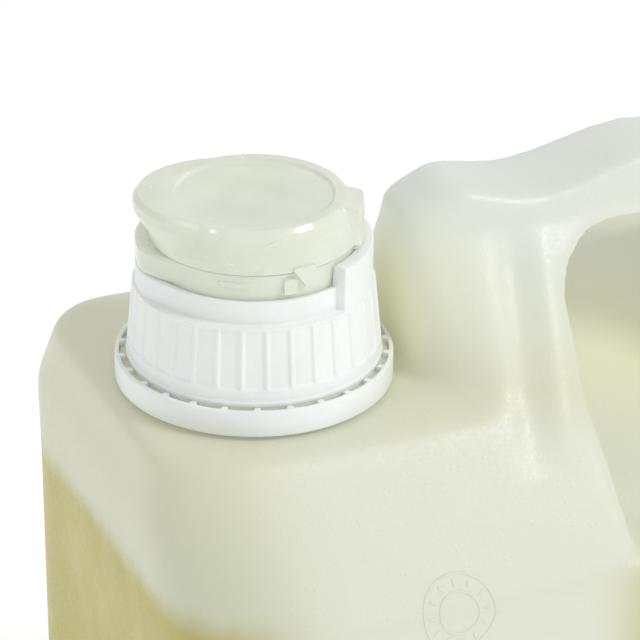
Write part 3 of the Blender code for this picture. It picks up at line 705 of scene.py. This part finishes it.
def make_tooth():
    """The pointed tear tooth under the lid's rim, beside the notch."""
    top = LID_FOOT + 1.2 * MM
    corners = [(-3.2 * MM, top, 0.3 * MM), (0.6 * MM, TOOTH_TIP_Z, 0.5 * MM), (3.4 * MM, top, 0.3 * MM)]
    return on_wall("tear_tooth", rounded_outline(corners), TOOTH_ANGLE, 25.3 * MM, 26.6 * MM)


def make_catches():
    """The two catch blocks moulded on the insert's wall."""
    catches = []
    for name, angle, half, low, high in CATCHES:
        corners = [(-half * MM, low * MM, 0.25 * MM), (half * MM, low * MM, 0.25 * MM),
                   (half * MM, high * MM, 0.25 * MM), (-half * MM, high * MM, 0.25 * MM)]
        catches.append(on_wall(name, rounded_outline(corners), math.radians(angle), 25.2 * MM, 26.5 * MM))
    return catches


def make_mould_mark(skin):
    """A plain roundel moulded on the front: two rings and a scale of ticks, laid on the skin."""
    tree = BVHTree.FromObject(skin, bpy.context.evaluated_depsgraph_get())
    place_z = SHOULDER_Z + MARK_RISE
    place = Vector((NECK_X + MARK_FROM_NECK, -side_half_width(place_z), place_z))
    matrix = Matrix.Translation(place) @ Matrix.Rotation(MARK_TILT, 4, "X")
    away = matrix.to_3x3() @ Vector((0, 0, 1))
    bm = bmesh.new()
    for radius in MARK_RING_RADII:
        loops = []
        for i in range(120):
            angle = 2 * math.pi * i / 120
            loops.append([])
            for j in range(8):
                reach = radius + MARK_BEAD * math.cos(math.pi * j / 4)
                height = MARK_BEAD * 0.8 * math.sin(math.pi * j / 4)
                loops[-1].append(bm.verts.new((reach * math.cos(angle), reach * math.sin(angle), height)))
        for here, there in zip(loops, loops[1:] + loops[:1]):
            for j in range(8):
                k = (j + 1) % 8
                bm.faces.new((here[j], here[k], there[k], there[j]))
    tick_size = Matrix.Diagonal((MARK_TICK_LENGTH, MARK_TICK_WIDTH, 1.6 * MARK_BEAD, 1))
    for i in range(MARK_TICK_COUNT):
        turn = Matrix.Rotation(2 * math.pi * i / MARK_TICK_COUNT, 4, "Z")
        seat = turn @ Matrix.Translation((MARK_TICK_R, 0, 0)) @ tick_size
        bmesh.ops.create_uvsphere(bm, u_segments=12, v_segments=8, radius=0.5, matrix=seat)
    for vertex in bm.verts:
        flat = matrix @ Vector((vertex.co.x, vertex.co.y, 0))
        hit = tree.ray_cast(flat + away * CORNER_R, -away)[0]
        vertex.co = (hit or flat) + away * vertex.co.z
    return new_object("mould_mark", bm)


# ---- shader building ----

def node(tree, kind, inputs=None, **settings):
    """A new node with its settings, and its inputs set to a value or linked to an output."""
    made = tree.nodes.new(kind)
    for key, value in settings.items():
        setattr(made, key, value)
    for key, value in (inputs or {}).items():
        if isinstance(value, bpy.types.NodeSocket):
            tree.links.new(value, made.inputs[key])
        else:
            made.inputs[key].default_value = value
    return made


def math_node(tree, operation, *values, clamp=False):
    made = node(tree, "ShaderNodeMath", dict(enumerate(values)), operation=operation, use_clamp=clamp)
    return made.outputs[0]


def ramp(tree, value, low, high, start=0.0, end=1.0):
    """A smooth change from start to end as value goes from low to high."""
    inputs = {"Value": value, "From Min": low, "From Max": high, "To Min": start, "To Max": end}
    return node(tree, "ShaderNodeMapRange", inputs, interpolation_type="SMOOTHSTEP").outputs["Result"]


def colour_mix(tree, share, first, second):
    """The first colour where share is 0, and the second where it is 1."""
    made = tree.nodes.new("ShaderNodeMix")
    made.data_type = "RGBA"
    for socket, value in ((made.inputs[0], share), (made.inputs[6], first), (made.inputs[7], second)):
        if isinstance(value, bpy.types.NodeSocket):
            tree.links.new(value, socket)
        else:
            socket.default_value = value
    return made.outputs[2]


def linear(red, green, blue):
    """A display colour, 0 to 255, as the linear colour that a shader wants."""
    shares = [value / 255 for value in (red, green, blue)]
    return (*[s / 12.92 if s <= 0.04045 else ((s + 0.055) / 1.055) ** 2.4 for s in shares], 1.0)


def new_group(name, inputs, outputs):
    """A node group with its named inputs and outputs, and its two end nodes."""
    group = bpy.data.node_groups.new(name, "ShaderNodeTree")
    for label, kind, value in inputs:
        socket = group.interface.new_socket(label, in_out="INPUT", socket_type="NodeSocket" + kind)
        socket.default_value = value
    for label, kind in outputs:
        group.interface.new_socket(label, in_out="OUTPUT", socket_type="NodeSocket" + kind)
    return group, group.nodes.new("NodeGroupInput"), group.nodes.new("NodeGroupOutput")


def moulded_surface_group():
    """Blown and moulded plastic: slow waviness, fine grain, pin specks, and a mottle for colour and gloss."""
    inputs = [("Wave Size", "Float", 30.0), ("Grain Size", "Float", 900.0), ("Grain", "Float", 0.3),
              ("Specks", "Float", 0.2)]
    outputs = [("Height", "Float"), ("Mottle", "Float"), ("Gloss", "Float")]
    group, given, result = new_group("moulded_surface", inputs, outputs)
    place = node(group, "ShaderNodeTexCoord").outputs["Object"]
    wave_size = given.outputs["Wave Size"]
    grain_size = given.outputs["Grain Size"]
    wave = node(group, "ShaderNodeTexNoise", {"Vector": place, "Scale": wave_size, "Detail": 2.0})
    grain = node(group, "ShaderNodeTexNoise", {"Vector": place, "Scale": grain_size, "Detail": 3.0})
    cells = node(group, "ShaderNodeTexVoronoi", {"Vector": place, "Scale": 420.0})
    speck = ramp(group, cells.outputs["Distance"], 0.10, 0.24, 1.0, 0.0)
    rare = node(group, "ShaderNodeTexNoise", {"Vector": place, "Scale": 160.0, "Detail": 0.0})
    speck = math_node(group, "MULTIPLY", speck, ramp(group, rare.outputs["Fac"], 0.55, 0.7))
    speck = math_node(group, "MULTIPLY", speck, given.outputs["Specks"])
    fine = math_node(group, "MULTIPLY", grain.outputs["Fac"], given.outputs["Grain"])
    height = math_node(group, "ADD", math_node(group, "MULTIPLY", wave.outputs["Fac"], 1.2), fine)
    group.links.new(math_node(group, "ADD", height, speck), result.inputs["Height"])
    cloud = {"Vector": place, "Scale": wave_size, "Detail": 5.0, "Roughness": 0.62}
    mottle = node(group, "ShaderNodeTexNoise", cloud)
    group.links.new(ramp(group, mottle.outputs["Fac"], 0.3, 0.7), result.inputs["Mottle"])
    group.links.new(math_node(group, "ADD", grain.outputs["Fac"], speck), result.inputs["Gloss"])
    return group


def scuff_group():
    """Handling wear: thin crossed scratches and dull patches, as a mask."""
    group, given, result = new_group("handling_scuffs", [("Amount", "Float", 0.5)], [("Mask", "Float")])
    place = node(group, "ShaderNodeTexCoord").outputs["Object"]
    total = None
    for turn, stretch in ((0.6, (40, 900, 300)), (-0.9, (700, 60, 500))):
        laid = {"Vector": place, "Rotation": (turn, turn / 2, turn), "Scale": stretch}
        mapped = node(group, "ShaderNodeMapping", laid).outputs["Vector"]
        lines = node(group, "ShaderNodeTexNoise", {"Vector": mapped, "Scale": 1.0, "Detail": 2.0})
        mask = ramp(group, lines.outputs["Fac"], 0.66, 0.74)
        total = mask if total is None else math_node(group, "MAXIMUM", total, mask)
    patches = node(group, "ShaderNodeTexNoise", {"Vector": place, "Scale": 25.0, "Detail": 3.0})
    total = math_node(group, "MULTIPLY", total, ramp(group, patches.outputs["Fac"], 0.45, 0.65))
    group.links.new(math_node(group, "MULTIPLY", total, given.outputs["Amount"]), result.inputs["Mask"])
    return group


def new_material(name, **shader):
    """A material whose Principled BSDF takes the named values, with _ for the spaces in their names."""
    material = bpy.data.materials.new(name)
    material.use_nodes = True
    tree = material.node_tree
    tree.nodes.clear()
    values = {key.replace("_", " "): value for key, value in shader.items()}
    principled = node(tree, "ShaderNodeBsdfPrincipled", values)
    output = node(tree, "ShaderNodeOutputMaterial")
    tree.links.new(principled.outputs["BSDF"], output.inputs["Surface"])
    return material, tree, principled


def surface_finish(tree, principled, wave, grain, grain_depth, specks, relief, gloss, scuffs):
    """Feeds roughness and normal from the shared groups, and gives the mottle and wear masks."""
    surface = node(tree, "ShaderNodeGroup", node_tree=SURFACE)
    sizes = {"Wave Size": wave, "Grain Size": grain, "Grain": grain_depth, "Specks": specks}
    for label, value in sizes.items():
        surface.inputs[label].default_value = value
    worn = node(tree, "ShaderNodeGroup", node_tree=SCUFFS)
    worn.inputs["Amount"].default_value = scuffs
    rough = ramp(tree, surface.outputs["Gloss"], 0.3, 0.8, *gloss)
    dulled = math_node(tree, "MULTIPLY", worn.outputs["Mask"], 0.25)
    rough = math_node(tree, "ADD", rough, dulled, clamp=True)
    tree.links.new(rough, principled.inputs["Roughness"])
    raised = {"Height": surface.outputs["Height"], "Strength": 1.0, "Distance": relief}
    bump = node(tree, "ShaderNodeBump", raised)
    tree.links.new(bump.outputs["Normal"], principled.inputs["Normal"])
    return surface.outputs["Mottle"], worn.outputs["Mask"]


def milky_wall():
    """Milky polyethylene that takes the detergent's yellow where the detergent stands against it, with
    painted shade, painted light, a painted highlight and a painted glow in its colour.
    """
    # The emission in the wall's own colour is painted light, standing in for light passing through the
    # translucent wall.
    material, tree, principled = new_material("natural_polyethylene", IOR=1.5, Subsurface_Weight=0.25,
                                              Subsurface_Scale=0.004, Emission_Strength=0.22)
    principled.inputs["Subsurface Radius"].default_value = (1.0, 0.95, 0.7)
    mottle, worn = surface_finish(tree, principled, wave=22.0, grain=1100.0, grain_depth=0.35, specks=0.5,
                                  relief=0.12 * MM, gloss=(0.34, 0.52), scuffs=0.4)
    object_place = node(tree, "ShaderNodeTexCoord").outputs["Object"]
    x, y, z = node(tree, "ShaderNodeSeparateXYZ", {"Vector": object_place}).outputs
    wander = math_node(tree, "MULTIPLY", math_node(tree, "SUBTRACT", mottle, 0.5), 5 * MM)
    level = math_node(tree, "ADD", z, wander)
    # Above the detergent the wall's colour runs by height, from a low colour darkened as painted shade, seen
    # on the left end.
    air_and_shade_ramp = node(tree, "ShaderNodeValToRGB", {"Fac": ramp(tree, level, SHOULDER_Z, HANDLE_TOP_Z)})
    stops = air_and_shade_ramp.color_ramp.elements
    stops[0].color = AIR_SIDE_PAINTED_SHADE
    stops[1].color = AIR_TOP
    for position, colour in ((0.42, AIR_DECK), (0.66, AIR_BLOCK)):
        stops.new(position).color = colour
    # Beside and right of the neck, below the deck, the dry wall is lightened as painted light.
    beside = ramp(tree, x, NECK_X - 30 * MM, NECK_X + 4 * MM)
    painted_light_share = math_node(tree, "MULTIPLY", beside, ramp(tree, level, DECK_Z - 8 * MM, DECK_Z + 4 * MM, 1.0, 0.0))
    dry_with_painted_light = colour_mix(tree, painted_light_share, air_and_shade_ramp.outputs["Color"], AIR_FRONT_PAINTED_LIGHT)
    wet = ramp(tree, level, LIQUID_Z - 2 * MM, LIQUID_Z + 8 * MM, 1.0, 0.0)
    # On the front just below the liquid line the yellow is held back to the dry colour as a painted
    # highlight, fading back to yellow deeper down.
    highlight_depth_fade = ramp(tree, level, LIQUID_Z - 95 * MM, LIQUID_Z - 8 * MM, 0.9, 0.0)
    in_front = ramp(tree, y, 4 * MM - HALF_WIDTH, 14 * MM - HALF_WIDTH, 1.0, 0.0)
    from_left = ramp(tree, x, NECK_X - 34 * MM, NECK_X - 10 * MM)
    from_right = ramp(tree, x, NECK_X + 60 * MM, NECK_X + 90 * MM, 1.0, 0.0)
    painted_highlight_area = math_node(tree, "MULTIPLY", in_front, math_node(tree, "MULTIPLY", from_left, from_right))
    change = math_node(tree, "MULTIPLY", painted_highlight_area, math_node(tree, "SUBTRACT", highlight_depth_fade, wet))
    colour = colour_mix(tree, mottle, YELLOW_DEEP, YELLOW_PALE)
    colour = colour_mix(tree, math_node(tree, "ADD", wet, change, clamp=True), dry_with_painted_light, colour)
    glow = None
    for centre, reach in WARM_SPOTS:
        gap = node(tree, "ShaderNodeVectorMath", {0: object_place, 1: centre}, operation="DISTANCE")
        spot = ramp(tree, gap.outputs["Value"], 0.0, reach, 1.0, 0.0)
        glow = spot if glow is None else math_node(tree, "MAXIMUM", glow, spot)
    colour = colour_mix(tree, math_node(tree, "MULTIPLY", mottle, 0.12), colour, WARM_CLOUD)
    colour = colour_mix(tree, math_node(tree, "MULTIPLY", glow, 0.8), colour, WARM_GLOW)
    colour = colour_mix(tree, math_node(tree, "MULTIPLY", worn, 0.3), colour, SCUFF_PALE)
    tree.links.new(colour, principled.inputs["Base Color"])
    # The same colour glows as painted light.
    tree.links.new(colour, principled.inputs["Emission Color"])
    return material


def detergent_material():
    material, tree, principled = new_material("detergent", IOR=1.37, Coat_Weight=0.3)
    mottle = surface_finish(tree, principled, wave=14.0, grain=500.0, grain_depth=0.1, specks=0.0,
                            relief=0.05 * MM, gloss=(0.08, 0.16), scuffs=0.0)[0]
    tree.links.new(colour_mix(tree, mottle, YELLOW_DEEP, YELLOW_PALE), principled.inputs["Base Color"])
    return material


def white_plastic():
    # The faint white emission is painted light that lifts the white plastic's shade.
    material, tree, principled = new_material("white_polypropylene", IOR=1.49, Subsurface_Weight=0.12,
                                              Subsurface_Scale=0.0015, Emission_Color=(1, 1, 1, 1),
                                              Emission_Strength=0.02)
    mottle, worn = surface_finish(tree, principled, wave=60.0, grain=1600.0, grain_depth=0.25, specks=0.15,
                                  relief=0.04 * MM, gloss=(0.30, 0.44), scuffs=0.5)
    colour = colour_mix(tree, mottle, linear(240, 244, 241), linear(234, 238, 236))
    colour = colour_mix(tree, math_node(tree, "MULTIPLY", worn, 0.4), colour, linear(226, 230, 229))
    tree.links.new(colour, principled.inputs["Base Color"])
    return material


def clear_plastic():
    # The faint emission is painted light that brightens the clear plastic.
    material, tree, principled = new_material("clear_polypropylene", IOR=1.49, Transmission_Weight=0.4,
                                              Metallic=0.0, Emission_Color=linear(236, 241, 228),
                                              Emission_Strength=0.05)
    mottle, worn = surface_finish(tree, principled, wave=80.0, grain=400.0, grain_depth=0.1, specks=0.0,
                                  relief=0.03 * MM, gloss=(0.14, 0.22), scuffs=0.5)
    colour = colour_mix(tree, mottle, linear(251, 253, 243), linear(244, 248, 234))
    colour = colour_mix(tree, math_node(tree, "MULTIPLY", worn, 0.3), colour, linear(222, 226, 218))
    tree.links.new(colour, principled.inputs["Base Color"])
    return material


def foam_material():
    material, tree, principled = new_material("foam_gasket", IOR=1.45)
    mottle, worn = surface_finish(tree, principled, wave=120.0, grain=2600.0, grain_depth=1.0, specks=0.4,
                                  relief=0.2 * MM, gloss=(0.75, 0.9), scuffs=0.2)
    colour = colour_mix(tree, mottle, linear(232, 234, 230), linear(214, 217, 212))
    tree.links.new(colour_mix(tree, worn, colour, linear(200, 203, 198)), principled.inputs["Base Color"])
    return material


# ---- making ----

YELLOW_DEEP = linear(167, 159, 87)
YELLOW_PALE = linear(175, 168, 100)
# The dry wall's low colour is darkened as painted shade, and its colour beside the neck is lightened as
# painted light.
AIR_SIDE_PAINTED_SHADE = linear(190, 193, 171)
AIR_FRONT_PAINTED_LIGHT = linear(202, 205, 190)
AIR_DECK = linear(198, 199, 177)
AIR_BLOCK = linear(202, 205, 190)
AIR_TOP = linear(203, 208, 202)
WARM_CLOUD = linear(198, 197, 166)
WARM_GLOW = linear(222, 220, 184)
SCUFF_PALE = linear(214, 217, 210)
# Where light comes warm through the liquid behind: centres and how far they reach.
WARM_SPOTS = (
    ((NECK_X + 42 * MM, 0, DECK_Z + 14 * MM), 34 * MM),
    ((HOLE_LEFT + 36 * MM, 0, DECK_Z), 52 * MM),
)
SURFACE = moulded_surface_group()
SCUFFS = scuff_group()

shell, detergent = make_canister()
mark = make_mould_mark(shell)
ring = make_ring()
collar = make_collar()
insert = make_insert()
catches = make_catches()
lid = make_lid()
tooth = make_tooth()
film, film_start, film_end = make_hinge_film()

wall_finish = milky_wall()
clear_finish = clear_plastic()
white_finish = white_plastic()
placed = [
    (shell, wall_finish, "bottle", "natural_polyethylene", "canister"),
    (mark, wall_finish, "bottle", "natural_polyethylene", None),
    (detergent, detergent_material(), "bottle", "detergent", "detergent_fill"),
    (ring, white_finish, "bottle", "white_polypropylene", "tamper_ring"),
    (collar, white_finish, "closure", "white_polypropylene", "screw_collar"),
    (insert, clear_finish, "closure", "clear_polypropylene", "spout_insert"),
    (lid, clear_finish, "lid", "clear_polypropylene", "flip_lid"),
    (tooth, clear_finish, "lid", "clear_polypropylene", None),
]
placed += [(catch, clear_finish, "closure", "clear_polypropylene", None) for catch in catches]
for piece, finish, body, slot, stands_for in placed:
    piece.data.materials.clear()
    piece.data.materials.append(finish)
    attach(piece, body)
    if stands_for:
        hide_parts(stands_for)
film.data.materials.append(clear_finish)
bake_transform(film)
frame["nodes"]["neck_gasket"].data.materials.clear()
frame["nodes"]["neck_gasket"].data.materials.append(foam_material())

# ---- stage ----

FLOOR_REACH = 6
SOFTBOX_DISTANCE = 1.1
SOFTBOX_ASPECT = 0.7
# The softboxes' names, directions from the closure, powers in watts and widths in metres.
SOFTBOXES = (
    ("softbox_left", (-0.70, -0.12, 0.71), 0.25, 0.09),
    ("softbox_right", (0.54, -0.51, 0.67), 3.7, 0.26),
)

floor_mesh = bpy.data.meshes.new("studio_floor")
floor_corners = [(x * FLOOR_REACH, y * FLOOR_REACH, 0) for x, y in ((-1, -1), (1, -1), (1, 1), (-1, 1))]
floor_mesh.from_pydata(floor_corners, [], [(0, 1, 2, 3)])
floor = bpy.data.objects.new("studio_floor", floor_mesh)
bpy.context.scene.collection.objects.link(floor)
floor_finish, floor_tree, floor_shader = new_material("pale_floor", Roughness=0.9, Emission_Strength=0.27,
                                                      Emission_Color=(1, 1, 1, 1))
floor_cloud = node(floor_tree, "ShaderNodeTexNoise", {"Scale": 3.0})
floor_share = floor_cloud.outputs["Fac"]
floor_colour = colour_mix(floor_tree, floor_share, linear(250, 250, 250), linear(253, 253, 253))
floor_tree.links.new(floor_colour, floor_shader.inputs["Base Color"])
floor_mesh.materials.append(floor_finish)

world = bpy.data.worlds.new("studio")
bpy.context.scene.world = world
world.use_nodes = True
backdrop = next(made for made in world.node_tree.nodes if made.type == "BACKGROUND")
backdrop.inputs["Color"].default_value = (1, 1, 1, 1)
backdrop.inputs["Strength"].default_value = 0.70

TARGET = Vector((NECK_X, 0, RING_TOP_Z))
for name, direction, power, size in SOFTBOXES:
    lamp = bpy.data.lights.new(name, "AREA")
    lamp.shape = "RECTANGLE"
    lamp.size = size
    lamp.size_y = size * SOFTBOX_ASPECT
    lamp.energy = power
    box = bpy.data.objects.new(name, lamp)
    box.location = TARGET + Vector(direction).normalized() * SOFTBOX_DISTANCE
    box.rotation_euler = (-Vector(direction)).to_track_quat("-Z", "Y").to_euler()
    bpy.context.scene.collection.objects.link(box)

CAMERA_AZIMUTH = math.radians(-22.6)
CAMERA_ELEVATION = math.radians(27.6)
CAMERA_DISTANCE = 0.75
CAMERA_LENS = 168.75
CAMERA_SHIFT = (0.103125, 0.0390625)
toward = Vector((
    math.sin(CAMERA_AZIMUTH) * math.cos(CAMERA_ELEVATION),
    -math.cos(CAMERA_AZIMUTH) * math.cos(CAMERA_ELEVATION),
    math.sin(CAMERA_ELEVATION),
))
lens = bpy.data.cameras.new("camera")
lens.sensor_width = 36
lens.lens = CAMERA_LENS
lens.shift_x, lens.shift_y = CAMERA_SHIFT
lens.clip_start = 0.01
camera = bpy.data.objects.new("camera", lens)
camera.location = TARGET + toward * CAMERA_DISTANCE
camera.rotation_euler = (-toward).to_track_quat("-Z", "Y").to_euler()
bpy.context.scene.collection.objects.link(camera)
bpy.context.scene.camera = camera
bpy.context.scene.view_settings.view_transform = "Standard"

bpy.context.view_layer.update()
